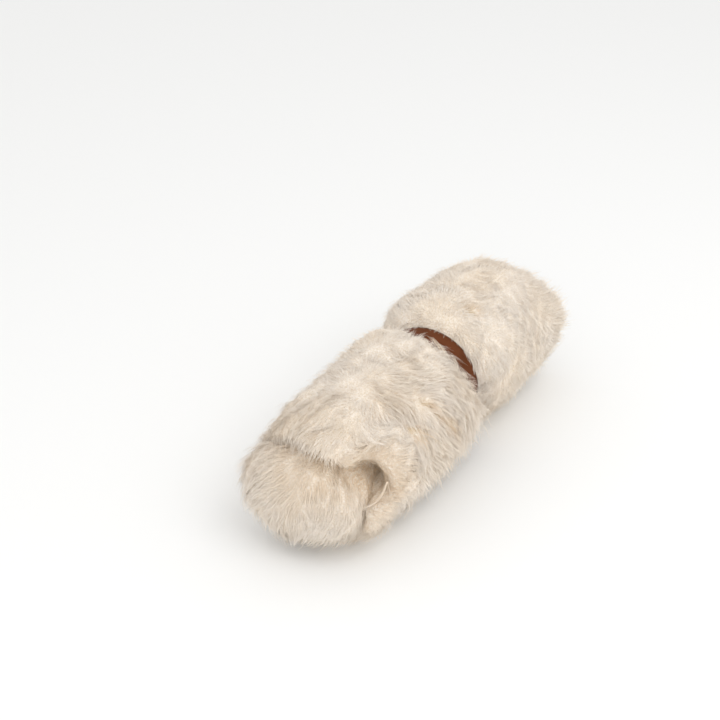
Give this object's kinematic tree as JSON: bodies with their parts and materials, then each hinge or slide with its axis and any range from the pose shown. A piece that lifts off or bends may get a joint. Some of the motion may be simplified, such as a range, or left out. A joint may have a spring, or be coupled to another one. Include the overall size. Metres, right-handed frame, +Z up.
{
  "type": "rolled sheepskin rug with a leather strap",
  "caption": "Long-wool sheepskin rug rolled up along its length, wool outside, open at one end and held at its middle by a leather strap",
  "frame": {"origin": "the middle of the underside of the roll, on the plane that it rests on", "axes": "+X along the roll, away from its open end; +Z up; +Y to the side away from the hollow"},
  "size_m": [0.6118, 0.2386, 0.2072],
  "materials": {
    "wool": "long cream-white sheep's wool in soft locks, warmer towards the roots",
    "strap_leather": "smooth brown leather with a low gloss and darker cut edges"
  },
  "bodies": {
    "root": {"fleece_roll": "wool", "strap": "strap_leather"}
  },
  "joints": []
}
